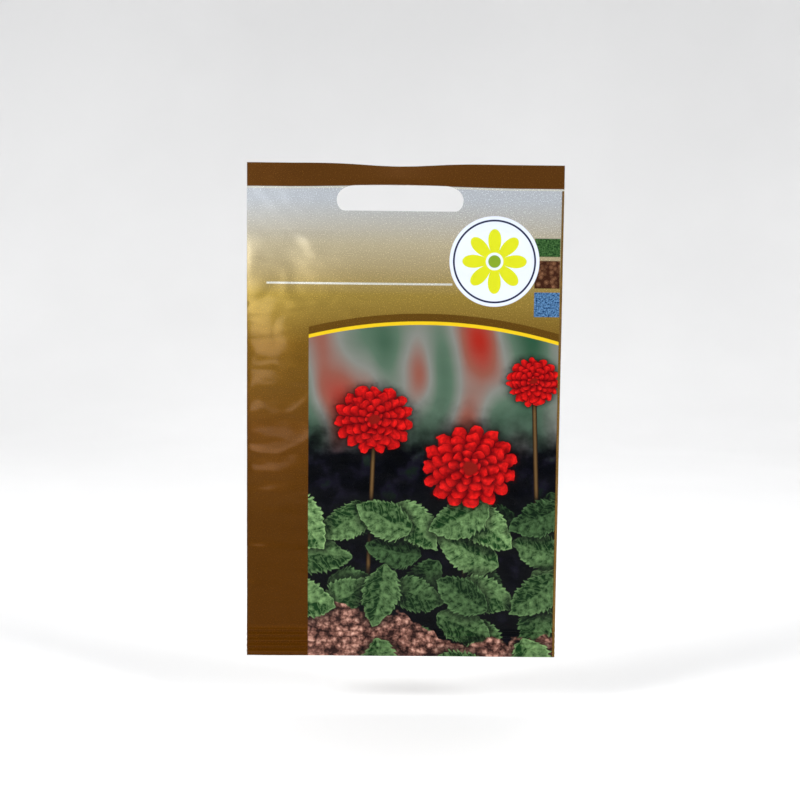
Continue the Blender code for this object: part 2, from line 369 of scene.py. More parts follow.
def film_points(web, ring):
    """The web's points, row by row. Each face stands out by the film, the swell and its relief, waves with
    the seals, and leans back above the slot. Also gives each point's place on the printed web, in
    millimetres along it and up from its bottom edge."""
    rows, lip = row_places(web)
    x, z = np.meshgrid(ring.x, rows)
    above = np.broadcast_to(np.arange(len(rows))[:, None] >= lip, x.shape)
    z = open_slot(web, x, z, above)
    along = np.broadcast_to(ring.along, x.shape)
    front = face_relief(web, along, z, FRONT_DRAW)
    back = face_relief(web, along, z, BACK_DRAW)
    out = web.sizes.ply + swell(web, x, z, web.sizes.swell) + np.where(ring.side < 0, front, back)
    y = crimp(web, z) + seal_wave(web, x, z) + out * ring.side
    y = y + web.sizes.fin_thickness * ring.on_fin
    y, leaned = lean(x, y, z)
    points = np.stack([x, y, leaned], axis=-1)
    places = np.stack([along, z - web.bottom], axis=-1) / MM
    return points, places, lip


def film_walls(points, places, lip, ring):
    """Quads round the ring and up the rows, with each corner's place on the web. The slot's two lips share
    their points beyond its ends, and no quad joins one lip to the other."""
    rows, around = points.shape[:2]
    numbers = np.arange(rows * around).reshape(rows, around)
    numbers[lip, ~ring.on_slot] = numbers[lip - 1, ~ring.on_slot]
    closed = np.concatenate([numbers, numbers[:, :1]], axis=1)
    last = places[:, -1:] + [FIN_UNDERCUT / MM, 0.0]
    closed_places = np.concatenate([places, last], axis=1)
    walls, wall_places = (
        np.stack([grid[:-1, :-1], grid[:-1, 1:], grid[1:, 1:], grid[1:, :-1]], axis=2)
        for grid in (closed, closed_places)
    )
    walls = np.delete(walls, lip - 1, axis=0)
    wall_places = np.delete(wall_places, lip - 1, axis=0)
    return numbers, walls.reshape(-1, 4), wall_places.reshape(-1, 2)


def film_rims(numbers, lip, ring):
    """Faces between front and back along the packet's top and bottom and the slot's two lips."""
    under = ring.back.copy()
    under[ring.free] = 0
    slot = np.flatnonzero(ring.on_slot[ring.front])
    first, last = slot[0] - 1, slot[-1] + 1
    whole = (0, ring.count - 1)
    edges = ((-1, *whole, 1), (0, *whole, -1), (lip - 1, first, last, 1), (lip, first, last, -1))
    quads, triangles = [], []
    for row, start, end, up in edges:
        line = numbers[row]
        here = np.arange(start, end)
        rim = [ring.front[here], ring.front[here + 1], under[here + 1], under[here]]
        quads.append(np.stack([line[place] for place in rim][::up], axis=-1))
        triangles.append(line[[0, ring.back[ring.free + 1], ring.back[ring.free]]][::up])
    for row, up in ((-1, 1), (0, -1)):
        triangles.append(numbers[row][[under[0], ring.left_fold, ring.front[0]]][::up])
        triangles.append(numbers[row][[ring.front[-1], ring.right_fold, under[-1]]][::up])
    return np.concatenate(quads), np.array(triangles)


def mesh_from(name, points, quads, triangles):
    """A mesh from arrays of points and of point numbers, without the points that no face uses."""
    faces = np.concatenate([quads.ravel(), triangles.ravel()])
    used, corners = np.unique(faces, return_inverse=True)
    starts = [4 * np.arange(len(quads)), quads.size + 3 * np.arange(len(triangles))]
    mesh = bpy.data.meshes.new(name)
    mesh.vertices.add(len(used))
    mesh.vertices.foreach_set("co", points.reshape(-1, 3)[used].astype(np.float32).ravel())
    mesh.loops.add(len(corners))
    mesh.loops.foreach_set("vertex_index", corners.ravel().astype(np.int32))
    mesh.polygons.add(len(quads) + len(triangles))
    mesh.polygons.foreach_set("loop_start", np.concatenate(starts).astype(np.int32))
    mesh.update(calc_edges=True)
    mesh.shade_smooth()
    return mesh


def film_mesh(web):
    """The folded web as one closed skin with a map of web places. Its cut rims use the second material."""
    ring = Ring(web)
    points, places, lip = film_points(web, ring)
    numbers, walls, wall_places = film_walls(points, places, lip, ring)
    rims, triangles = film_rims(numbers, lip, ring)
    mesh = mesh_from("packet_film", points, np.concatenate([walls, rims]), triangles)
    rim_places = places.reshape(-1, 2)[np.concatenate([rims.ravel(), triangles.ravel()])]
    layer = mesh.uv_layers.new(name=PLACE_MAP)
    layer.uv.foreach_set("vector", np.concatenate([wall_places, rim_places]).astype(np.float32).ravel())
    on_rim = np.arange(len(mesh.polygons)) >= len(walls)
    mesh.polygons.foreach_set("material_index", on_rim.astype(np.int32))
    mesh.set_sharp_from_angle(angle=SHARP)
    return mesh


def seed_places(web):
    """Each seed's middle and turn: rows of a drift that starts at the lowest height where a seed fits
    between the pouch's walls, with small seeded shifts."""
    rng = random.Random(RANDOM_SEED)
    steps = math.ceil((SEEDS_TOP - web.pouch_bottom) / SEAT_STEP)
    heights = web.pouch_bottom + SEAT_STEP * np.arange(steps)
    need = SEED_HALF_SIZE[1] + SEED_CLEARANCE
    places = []
    for row, count in enumerate(SEED_ROWS):
        for place in range(count):
            shift = rng.uniform(-SEED_ALONG, SEED_ALONG) * MM
            x = web.middle + (place - (count - 1) / 2) * SEED_SPACING + shift
            fits = swell(web, x, heights, SOLID_SWELL) >= need
            seat = heights[np.argmax(fits)] + SEED_HALF_SIZE[2]
            z = seat + row * SEED_ROW_STEP + rng.uniform(0.0, SEED_UP) * MM
            y = rng.uniform(-1.0, 1.0) * min(SEED_OUT_PER_ROW * (1 + row), SEED_OUT_MOST) * MM
            places.append((x, y, z, rng.uniform(-SEED_TURN, SEED_TURN)))
    return np.array(places)


def seed_mesh(web):
    """All seeds, each a flattened egg of rings round its long way. One end is slimmer, as the width is
    multiplied by 1 - taper cos(polar), and furrows run from tip to tip."""
    x, y, z, turn = seed_places(web).T[:, :, None, None]
    polar = math.pi * (np.arange(SEED_RINGS + 1) / SEED_RINGS)[None, :, None]
    around = 2 * math.pi * (np.arange(SEED_SIDES) / SEED_SIDES)[None, None, :]
    long = np.cos(polar) + 0 * around
    furrow = 1.0 - FURROW_DEPTH * (0.5 + 0.5 * np.cos(FURROWS * around)) * np.sin(polar)
    wide = np.sin(polar) * np.sin(around) * furrow * (1.0 - SEED_TAPER * long)
    thick = np.sin(polar) * np.cos(around) * furrow
    along, across = SEED_HALF_SIZE[0] * long, SEED_HALF_SIZE[2] * wide
    out_x = x + along * np.cos(turn) - across * np.sin(turn)
    out_y = y + SEED_HALF_SIZE[1] * thick + 0 * turn
    out_z = z + along * np.sin(turn) + across * np.cos(turn)
    points = np.stack([out_x, out_y, out_z], axis=-1)
    count = len(points)
    numbers = np.arange(points[..., 0].size).reshape(count, SEED_RINGS + 1, SEED_SIDES)
    numbers[:, 0], numbers[:, -1] = numbers[:, 0, :1], numbers[:, -1, :1]
    closed = np.concatenate([numbers, numbers[:, :, :1]], axis=2)
    body = closed[:, 1:-1]
    quads = np.stack([body[:, :-1, :-1], body[:, :-1, 1:], body[:, 1:, 1:], body[:, 1:, :-1]], axis=-1)
    tips = [
        np.stack([closed[:, 0, :-1], closed[:, 1, 1:], closed[:, 1, :-1]], axis=-1),
        np.stack([closed[:, -1, :-1], closed[:, -2, :-1], closed[:, -2, 1:]], axis=-1),
    ]
    triangles = np.concatenate([tip.reshape(-1, 3) for tip in tips])
    return mesh_from("seed_drift", points, quads.reshape(-1, 4)[:, ::-1], triangles)


def add_piece(mesh, *materials):
    """Put a mesh in the scene at the origin, riding on the packet's body."""
    piece = bpy.data.objects.new(mesh.name, mesh)
    bpy.context.scene.collection.objects.link(piece)
    for material in materials:
        mesh.materials.append(material)
    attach(piece, BODY)
    return piece


class Value:
    """A number or colour in a shader tree. Arithmetic on it adds Math nodes."""

    def __init__(self, socket):
        self.socket = socket
        self.tree = socket.id_data

    def maths(self, operation, *others):
        node = add_node(self.tree, "ShaderNodeMath", operation=operation)
        for slot, item in zip(node.inputs, (self, *others)):
            feed(slot, item)
        return Value(node.outputs[0])

    def __add__(self, other):
        return self.maths("ADD", other)

    def __sub__(self, other):
        return self.maths("SUBTRACT", other)

    def __mul__(self, other):
        return self.maths("MULTIPLY", other)

    def __truediv__(self, other):
        return self.maths("DIVIDE", other)

    def __pow__(self, other):
        return self.maths("POWER", other)

    def __abs__(self):
        return self.maths("ABSOLUTE")

    def times_plus(self, factor, offset):
        return self.maths("MULTIPLY_ADD", factor, offset)

    def flipped(self):
        return self.times_plus(-1.0, 1.0)


def feed(slot, item):
    """Link a value to a socket, or set the socket to a plain number or colour."""
    if isinstance(item, Value):
        slot.id_data.links.new(item.socket, slot)
    elif slot.type == "RGBA":
        slot.default_value = (*item, 1.0)
    else:
        slot.default_value = item


def add_node(tree, kind, inputs=None, **settings):
    """A shader node with its settings and inputs."""
    node = tree.nodes.new(kind)
    for name, value in settings.items():
        setattr(node, name, value)
    for name, item in (inputs or {}).items():
        feed(node.inputs[name], item)
    return node


def smooth(value, low, high):
    """0 where a value is at low or beyond, 1 at high or beyond, and a smooth step between."""
    inputs = {"Value": value, "From Min": low, "From Max": high}
    node = add_node(value.tree, "ShaderNodeMapRange", inputs, interpolation_type="SMOOTHSTEP")
    return Value(node.outputs[0])


def within(value, edge, soft=BLUR):
    """1 where a value is under an edge, with a soft step."""
    return smooth(value, edge + soft, edge - soft)


def past(value, edge, soft=BLUR):
    """1 where a value is over an edge, with a soft step."""
    return smooth(value, edge - soft, edge + soft)


def mix(share, under, over, blend="MIX"):
    """A blend from one colour to another."""
    node = add_node(share.tree, "ShaderNodeMix", data_type="RGBA", blend_type=blend)
    for slot, item in zip((node.inputs[0], node.inputs[6], node.inputs[7]), (share, under, over)):
        feed(slot, item)
    return Value(node.outputs[2])


def ramp(share, stops):
    """A colour ramp through stops of a place and a screen colour."""
    node = add_node(share.tree, "ShaderNodeValToRGB", {"Fac": share})
    elements = node.color_ramp.elements
    for place, _ in stops[2:]:
        elements.new(place)
    for element, (place, colour) in zip(elements, stops):
        element.position = place
        element.color = (*linear(*colour), 1.0)
    return Value(node.outputs["Color"])


def vector(x, y, z=0.0):
    """Three values as one place."""
    node = add_node(x.tree, "ShaderNodeCombineXYZ", {"X": x, "Y": y, "Z": z})
    return Value(node.outputs[0])


def noise(place, scale, detail=2.0, roughness=0.5):
    """Soft noise, mostly between 0.3 and 0.7."""
    inputs = {"Vector": place, "Scale": scale, "Detail": detail, "Roughness": roughness}
    return Value(add_node(place.tree, "ShaderNodeTexNoise", inputs).outputs[0])


def cells(place, scale):
    """Distance to the middle of the nearest random cell."""
    node = add_node(place.tree, "ShaderNodeTexVoronoi", {"Vector": place, "Scale": scale})
    return Value(node.outputs["Distance"])


def new_group(name, inputs, outputs):
    """An empty shader group with its sockets, and its inputs as values."""
    tree = bpy.data.node_groups.new(name, "ShaderNodeTree")
    kinds = dict.fromkeys(("Under", "Dark", "Light", "Colour"), "NodeSocketColor")
    kinds["Place"] = "NodeSocketVector"
    for way, sockets in (("INPUT", inputs), ("OUTPUT", outputs)):
        for socket in sockets:
            kind = kinds.get(socket, "NodeSocketFloat")
            tree.interface.new_socket(socket, in_out=way, socket_type=kind)
    entry = tree.nodes.new("NodeGroupInput")
    return tree, *(Value(entry.outputs[socket]) for socket in inputs)


def close_group(tree, **outputs):
    """Send values to a group's outputs."""
    ending = tree.nodes.new("NodeGroupOutput")
    for name, item in outputs.items():
        feed(ending.inputs[name], item)
    return tree


def use_group(group, inputs):
    """A group placed in the tree of its first linked input. Gives its first output."""
    tree = next(item.tree for item in inputs.values() if isinstance(item, Value))
    node = add_node(tree, "ShaderNodeGroup", node_tree=group)
    for name, item in inputs.items():
        feed(node.inputs[name], item)
    return Value(node.outputs[0])


def sure(value):
    """A value held between 0 and 1."""
    return value.maths("MAXIMUM", 0.0).maths("MINIMUM", 1.0)


def length_of(x, y):
    """Distance from the middle, the root of x squared and y squared."""
    return x.times_plus(x, y * y).maths("SQRT")


# Leaves: their curve, teeth and side veins, then sizes as shares of a cell and headings in radians
LEAF_CURVE = 0.35
LEAF_TEETH, TOOTH_DEPTH, LEAF_FULLNESS = 13.0, 0.42, 2.55
SIDE_VEINS, VEIN_SLANT, VEIN_SHARE = 6.0, -1.3, 0.30
LEAF_LENGTH, LEAF_LENGTH_SPREAD, LEAF_SLIMNESS = 0.76, 0.20, 0.31
LEAF_HEADING, LEAF_HEADING_SPREAD = -3.9, 4.6
EMPTY_CELLS = 0.20
LEAF_SHADOW = (8, 10, 12)
LEAF_DARK_DULL, LEAF_DARK_BRIGHT, LEAF_LIGHT_DULL = (6, 16, 10), (20, 54, 22), (44, 76, 44)

# Layers of leaves from the far to the near: cell, shift along and up, top, brightness
LEAF_LAYERS = (
    (17.0, 3.0, 6.0, 52.0, 0.45),
    (19.0, 12.0, 1.0, 46.0, 0.8),
    (18.0, 5.0, 10.0, 44.0, 1.0),
    (20.0, 15.0, 14.0, 38.0, 1.1),
)
LAYER_OVER_SOIL = 3

# Blooms: middle along and up the web, and radius. The left one is drawn left of LEFT_PART, and the far one
# where along and up add to more than FAR_PART
BLOOM_LEFT, BLOOM_NEAR, BLOOM_FAR = (-7.5, 62.0, 10.2), (17.0, 50.0, 12.4), (33.0, 72.0, 7.2)
LEFT_PART = 5.2
FAR_PART = 89.0
BLOOM_SQUASH = 0.86
PETAL_RINGS, RING_STEP, OUTER_PETALS = 5, 0.19, 15
BLOOM_EYE = 0.15
BLOOM_SHADOW, PETAL_SHADOW, EYE_COLOUR, PETAL_DARK = (10, 8, 10), (40, 2, 4), (120, 20, 14), (70, 0, 6)

# Stems: place along the web at its bottom edge, slant and top
STEMS = ((-9.5, 0.035, 62.0), (15.0, 0.04, 50.0), (36.0, -0.04, 72.0))
STEM_EDGE, STEM_MIDDLE = (30, 20, 12), (98, 74, 44)

# Grounds of the picture, as ramps of screen colours
FAR_GROUND = (
    (0.28, (40, 74, 54)), (0.42, (78, 100, 84)), (0.52, (118, 120, 114)),
    (0.62, (130, 78, 66)), (0.74, (150, 34, 24)),
)
NEAR_GROUND = ((0.32, (2, 3, 5)), (0.50, (4, 5, 10)), (0.60, (16, 15, 26)), (0.72, (14, 28, 16)))
CRUMBS = ((0.10, (40, 26, 24)), (0.38, (112, 76, 66)), (0.60, (176, 132, 116)), (0.85, (214, 176, 158)))

# Wobble of the outlines of leaves and blooms, and heights where the grounds change and the bank lies
WOBBLE = 2.4
NEAR_TOP, FAR_FOOT, GROUND_ROUGHNESS = 60.0, 76.0, 16.0
BANK, BANK_ROUGHNESS, BANK_FALL = 5.0, 16.0, 9.0


def leaf_shape(under, forward, side, mottle, fade, dark, light):
    """A pointed leaf with a soft shadow, laid over a colour. With f from 0 at its foot to 1 at its tip, its
    half-width goes as f^0.65 (1-f)^0.85 times a saw of teeth. Its midrib, side veins and rim are paler."""
    side = side + forward * forward * LEAF_CURVE
    share = forward.maths("MINIMUM", 1.0).maths("MAXIMUM", 0.0)
    width = (share**0.65) * (share.flipped() ** 0.85)
    width = width * (share * LEAF_TEETH).maths("FRACT").times_plus(TOOTH_DEPTH, LEAF_FULLNESS)
    off = abs(side)
    beyond = (abs(forward - 0.5) - 0.5).maths("MAXIMUM", 0.0)
    inside = beyond.times_plus(-4.0, width - off)
    shaded = mix(smooth(inside, -0.75, 0.1) * fade * 0.8, under, linear(*LEAF_SHADOW))
    arch = abs(share.times_plus(SIDE_VEINS, off * VEIN_SLANT).maths("FRACT") - 0.5)
    ribs = smooth(arch, 0.42, 0.49).maths("MAXIMUM", smooth(off, 0.09, 0.03))
    tone = mottle.times_plus(2.2, -0.85) + smooth(side, -0.12, 0.12) * 0.30
    tone = tone - arch * 0.6 + smooth(inside, 0.16, 0.04) * 0.5
    colour = mix(sure(tone), dark, light)
    colour = mix(ribs * VEIN_SHARE, colour, light)
    return mix(smooth(inside, 0.0, 0.07) * smooth(fade, 0.0, 0.01), shaded, colour)


def leaf_group():
    """A layer of leaves, one in each square cell. White noise of the cell gives its heading, size and
    brightness, and leaves some cells empty. None grows above the layer's top."""
    cell_inputs = ("Cell", "Shift Along", "Shift Up", "Layer", "Top", "Bright", "Light")
    tree, under, along, up, mottle, cell, shift_along, shift_up, layer, top, bright, lightest = new_group(
        "Leaves", ("Under", "Along", "Up", "Mottle", *cell_inputs), ("Colour",)
    )
    across, over = (along + shift_along) / cell, (up + shift_up) / cell
    column, row = across.maths("FLOOR"), over.maths("FLOOR")
    corner = {"Vector": vector(column, row, layer)}
    dice = add_node(tree, "ShaderNodeTexWhiteNoise", corner, noise_dimensions="3D")
    parts = add_node(tree, "ShaderNodeSeparateColor", {"Color": Value(dice.outputs["Color"])})
    first, second, third = (Value(parts.outputs[name]) for name in ("Red", "Green", "Blue"))
    x, y = across - column - 0.5, over - row - 0.5
    heading = first.times_plus(LEAF_HEADING_SPREAD, LEAF_HEADING)
    cosine, sine = heading.maths("COSINE"), heading.maths("SINE")
    length = second.times_plus(LEAF_LENGTH_SPREAD, LEAF_LENGTH)
    forward = x.times_plus(cosine, y * sine) / length + 0.5
    side = (y * cosine - x * sine) / (length * LEAF_SLIMNESS)
    height = (row + 0.5) * cell - shift_up
    grows = within(height, top, 0.5) * smooth(third, EMPTY_CELLS, EMPTY_CELLS + 0.01)
    fade = smooth(abs(x), 0.5, 0.40) * smooth(abs(y), 0.5, 0.40) * grows
    shine = second.times_plus(0.5, third * 0.5) * bright
    dark = mix(shine, linear(*LEAF_DARK_DULL), linear(*LEAF_DARK_BRIGHT))
    light = mix(shine, linear(*LEAF_LIGHT_DULL), lightest)
    return close_group(tree, Colour=leaf_shape(under, forward, side, mottle, fade, dark, light))


def bloom_group():
    """A round bloom laid over a colour: rings of petals, each smaller than the one under it. A ring of n
    petals reaches to 0.76 + 0.24 sqrt |cos(n angle / 2)| of its radius. Petals are lightest at the tips."""
    names = ("Under", "Along", "Up", "Centre Along", "Centre Up", "Radius", "Mottle", "Dark", "Light")
    tree, under, along, up, centre_along, centre_up, radius, mottle, dark, light = new_group(
        "Bloom", names, ("Colour",)
    )
    x, y = (along - centre_along) / radius, (up - centre_up) / (radius * BLOOM_SQUASH)
    reach = length_of(x, y)
    angle = y.maths("ARCTAN2", x) + radius
    colour = mix(smooth(reach, 1.3, 0.8) * 0.75, under, linear(*BLOOM_SHADOW))
    for ring in range(PETAL_RINGS):
        size = 1.0 - RING_STEP * ring
        petal = abs(angle.times_plus((OUTER_PETALS - 2 * ring) / 2, 0.9 * ring).maths("COSINE"))
        edge = petal.maths("SQRT").times_plus(0.24 * size, 0.76 * size)
        inside = edge - reach
        tone = (reach * (1.25 / size) - 0.30) * petal.times_plus(0.80, 0.15)
        tone = sure(tone * mottle.times_plus(2.4, -0.25))
        colour = mix(smooth(inside, -0.10, 0.02) * 0.5, colour, linear(*PETAL_SHADOW))
        colour = mix(smooth(inside, 0.0, 0.02), colour, mix(tone, dark, light))
    eye = within(reach, BLOOM_EYE, 0.02)
    return close_group(tree, Colour=mix(eye, colour, linear(*EYE_COLOUR)))


def backdrop(along, up, place):
    """The far ground: blurred upright streaks of greens, greys and muted reds over near-black."""
    streak = noise(vector(along * 0.9, up * 0.45), 0.085, 0.5)
    depth = noise(place, 0.16, 3.0)
    far = smooth(depth.times_plus(GROUND_ROUGHNESS, up), NEAR_TOP, FAR_FOOT)
    return mix(far, ramp(depth, NEAR_GROUND), ramp(streak, FAR_GROUND))


def soil(under, along, up, place):
    """Crumbs of soil along the foot of the picture, lower to the right."""
    lumps = cells(place, 0.62)
    grains = noise(place, 1.6, 4.0)
    colour = ramp(lumps.times_plus(-0.75, grains * 0.9) + 0.28, CRUMBS)
    bank = noise(place, 0.14, 3.0).times_plus(BANK_ROUGHNESS, BANK)
    bank = bank - smooth(along, -8.0, 16.0) * BANK_FALL
    return mix(smooth(bank - up, -0.3, 0.5), under, colour)


def picture(along, up, place, colours):
    """The generic garden picture: round red blooms among toothed leaves over a bank of soil."""
    tree = along.tree
    warp = add_node(tree, "ShaderNodeTexNoise", {"Vector": place, "Scale": 0.35, "Detail": 2.0})
    shifts = add_node(tree, "ShaderNodeSeparateColor", {"Color": Value(warp.outputs["Color"])})
    warped_along = Value(shifts.outputs["Red"]).times_plus(WOBBLE, along - WOBBLE / 2)
    warped_up = Value(shifts.outputs["Green"]).times_plus(WOBBLE, up - WOBBLE / 2)
    where = {"Along": warped_along, "Up": warped_up, "Mottle": noise(place, 0.7, 3.0, 0.6)}
    colour = backdrop(along, up, place)
    leaves, bloom = leaf_group(), bloom_group()
    for foot, slant, top in STEMS:
        off = abs(along - up * slant - foot)
        stem = smooth(off, 0.75, 0.5) * smooth(up, top + 0.5, top)
        colour = mix(stem, colour, mix(smooth(off, 0.6, 0.0), linear(*STEM_EDGE), linear(*STEM_MIDDLE)))
    for number, (cell, shift_along, shift_up, top, bright) in enumerate(LEAF_LAYERS):
        if number == LAYER_OVER_SOIL:
            colour = soil(colour, along, up, place)
        colour = use_group(leaves, {
            "Under": colour, **where, "Cell": cell, "Shift Along": shift_along, "Shift Up": shift_up,
            "Layer": float(number), "Top": top, "Bright": bright, "Light": tuple(colours.leaves),
        })
    on_left = warped_along.maths("LESS_THAN", LEFT_PART)
    on_far = (warped_along + warped_up).maths("GREATER_THAN", FAR_PART) * on_left.flipped()
    centre = [
        on_left.times_plus(left - near, on_far.times_plus(far - near, near))
        for left, near, far in zip(BLOOM_LEFT, BLOOM_NEAR, BLOOM_FAR)
    ]
    return use_group(bloom, {
        "Under": colour, **where,
        "Centre Along": centre[0], "Centre Up": centre[1], "Radius": centre[2],
        "Dark": linear(*PETAL_DARK), "Light": tuple(colours.petals),
    })


# Print of the packet, in millimetres along the web from the front's middle and up from the bottom edge
HEIGHT = 126.5
FOLD = 40.0
STRIPE = 0.6
FIN_EDGE = 75.5
HEADER_BAND = 120.6
HEADER_LINE = 120.35
PICTURE_LEFT = -24.2
PICTURE_RIGHT = 39.3
ARC_TOP, ARC_MIDDLE, ARC_BEND, ARC_BAND = 86.6, 5.0, 0.0042, 2.4
RULE_LEFT, RULE_RIGHT, RULE_LOW, RULE_HIGH = -35.0, 12.0, 96.15, 96.65
SWATCH_LEFT = 32.8
SWATCHES = ((103.6, 108.2), (95.6, 102.6), (88.4, 94.6))
PANEL_ALONG, PANEL_UP, PANEL_HALF_WIDTH, PANEL_HALF_HEIGHT = 58.0, 58.0, 12.5, 42.0
PANEL_FRAME = 0.8
BOX_BLUR, FOLD_BLUR = 0.12, 0.05

# Badge: its middle and radius, the ring's radius, the flower's reach and the eye's two radii
BADGE_ALONG, BADGE_UP, BADGE_RADIUS, BADGE_RING = 22.6, 102.3, 11.4, 10.3
FLOWER_PETALS, PETAL_FOOT, PETAL_REACH = 8, 2.6, 5.6
FLOWER_GAP, FLOWER_EYE = 2.2, 1.6

# Ground of the print by height, brown to silver, as shares of the height and screen colours
# The first stop is a painted highlight: the crimped bottom seal is painted lighter than the film just above
# it
PRINT_GROUND_AND_SEAL_HIGHLIGHT = (
    (0.060, (87, 49, 2)), (0.064, (76, 42, 0)), (0.28, (80, 46, 2)), (0.47, (98, 60, 12)),
    (0.64, (124, 90, 27)), (0.74, (168, 142, 66)), (0.84, (202, 190, 158)), (0.93, (203, 209, 216)),
)
GREEN_TILE = ((0.35, (24, 58, 30)), (0.65, (84, 130, 70)))
BROWN_TILE = ((0.1, (150, 104, 74)), (0.7, (70, 40, 26)))
BLUE_TILE = ((0.35, (20, 60, 110)), (0.62, (110, 160, 210)))
RULE_COLOUR, HEADER_LINE_COLOUR, ARC_BAND_COLOUR = (236, 236, 226), (226, 226, 214), (108, 76, 22)
BADGE_RING_COLOUR, FLOWER_EYE_COLOUR, FRAME_COLOUR = (28, 34, 62), (120, 150, 40), (70, 44, 12)


def box_mask(along, up, left, right, low, high):
    """1 inside a rectangle of the web."""
    in_width = within(abs(along - (left + right) / 2), (right - left) / 2, BOX_BLUR)
    return in_width * within(abs(up - (low + high) / 2), (high - low) / 2, BOX_BLUR)


def badge(under, along, up, colours):
    """A pale disc with a thin dark ring round a flower, whose edge lies at its petals' foot plus their
    reach times |cos(n angle / 2)|^0.6. Also gives where the disc lies."""
    x, y = along - BADGE_ALONG, up - BADGE_UP
    reach = length_of(x, y)
    petal = abs((y.maths("ARCTAN2", x) * (FLOWER_PETALS / 2)).maths("COSINE"))
    edge = (petal**0.6).times_plus(PETAL_REACH, PETAL_FOOT)
    disc = within(reach, BADGE_RADIUS)
    colour = mix(disc, under, tuple(colours.badge))
    colour = mix(smooth(abs(reach - BADGE_RING), 0.32, 0.16), colour, linear(*BADGE_RING_COLOUR))
    colour = mix(smooth(edge - reach, -0.1, 0.15), colour, tuple(colours.flower))
    colour = mix(within(reach, FLOWER_GAP), colour, tuple(colours.badge))
    return mix(within(reach, FLOWER_EYE), colour, linear(*FLOWER_EYE_COLOUR)), disc


def front_print(along, up, place, ground, colours):
    """The printed front: rule, tiles, arc, picture and badge over the gold ground. The arc drops with the
    square of the distance from its middle. Gives the colour and where the foil shows."""
    grain = noise(place, 2.2, 3.0)
    off_middle = along - ARC_MIDDLE
    above_arc = up - (off_middle * off_middle).times_plus(-ARC_BEND, ARC_TOP)
    across = past(along, PICTURE_LEFT) * within(along, PICTURE_RIGHT)
    rule = box_mask(along, up, RULE_LEFT, RULE_RIGHT, RULE_LOW, RULE_HIGH)
    colour = mix(rule, ground, linear(*RULE_COLOUR))
    tiles = (ramp(grain, GREEN_TILE), ramp(cells(place, 0.9), BROWN_TILE), ramp(grain, BLUE_TILE))
    for tile, (low, high) in zip(tiles, SWATCHES):
        colour = mix(box_mask(along, up, SWATCH_LEFT, PICTURE_RIGHT, low, high), colour, tile)
    band = past(above_arc, 0.0) * within(above_arc, ARC_BAND) * across
    colour = mix(band, colour, linear(*ARC_BAND_COLOUR))
    inside = within(above_arc, 0.0) * across
    colour = mix(inside, colour, picture(along, up, place, colours))
    line = smooth(abs(above_arc), 0.55, 0.35) * across
    colour = mix(line, colour, tuple(colours.arch))
    foil = inside.maths("MAXIMUM", line).flipped()
    colour, disc = badge(colour, along, up, colours)
    return colour, foil * disc.flipped()


def back_print(along, up, ground, colours):
    """The back: pale framed panels either side of the fin. Gives the colour and where the foil shows."""
    across, over = abs(abs(along) - PANEL_ALONG), abs(up - PANEL_UP)
    wide, tall = PANEL_HALF_WIDTH + PANEL_FRAME, PANEL_HALF_HEIGHT + PANEL_FRAME
    panel = within(across, PANEL_HALF_WIDTH) * within(over, PANEL_HALF_HEIGHT)
    framed = within(across, wide) * within(over, tall)
    colour = mix(framed, ground, linear(*FRAME_COLOUR))
    return mix(panel, colour, tuple(colours.panels)), framed.flipped()


def whole_print(along, up, place, colours):
    """Front and back, gold on the right fold and the fin, and the header band over all. Gives the colour,
    where the foil shows and where the fin lies."""
    # The ground carries a painted highlight: the crimped bottom seal is painted lighter than the film above
    # it
    ground = ramp(up / HEIGHT, PRINT_GROUND_AND_SEAL_HIGHLIGHT)
    front, front_foil = front_print(along, up, place, ground, colours)
    back, back_foil = back_print(along, up, ground, colours)
    on_back = past(abs(along), FOLD, FOLD_BLUR)
    foil = on_back.times_plus(back_foil - front_foil, front_foil)
    stripe = within(abs(along - FOLD), STRIPE)
    colour = mix(stripe, mix(on_back, front, back), tuple(colours.gold))
    fin = past(along, FIN_EDGE)
    colour = mix(fin, colour, tuple(colours.gold))
    band = past(up, HEADER_BAND)
    line = smooth(abs(up - HEADER_LINE), 0.3, 0.15)
    colour = mix(line, mix(band, colour, tuple(colours.header)), linear(*HEADER_LINE_COLOUR))
    return colour, foil.maths("MAXIMUM", stripe), fin


# Finish of the film: the foil's speckle, its gloss, a clear coat that grows upward, and the fin's lines
SPECKLE_SIZE, SPECKLE_DARKEST, SPECKLE_DEPTH = 3.4, 0.82, 0.36
METAL, SMOOTHEST, ROUGHNESS_SPREAD, GLOSS = 0.5, 0.19, 0.14, 0.06
COAT_LOW, COAT_MORE, COAT_FROM, COAT_TO, COAT_ROUGHNESS = 0.06, 0.18, 25.0, 80.0, 0.10
FIN_LINES, LINE_HEIGHT, GRAIN_HEIGHT, BUMP_STRENGTH, BUMP_DEPTH = 1.6, 0.6, 0.25, 0.25, 0.05 * MM


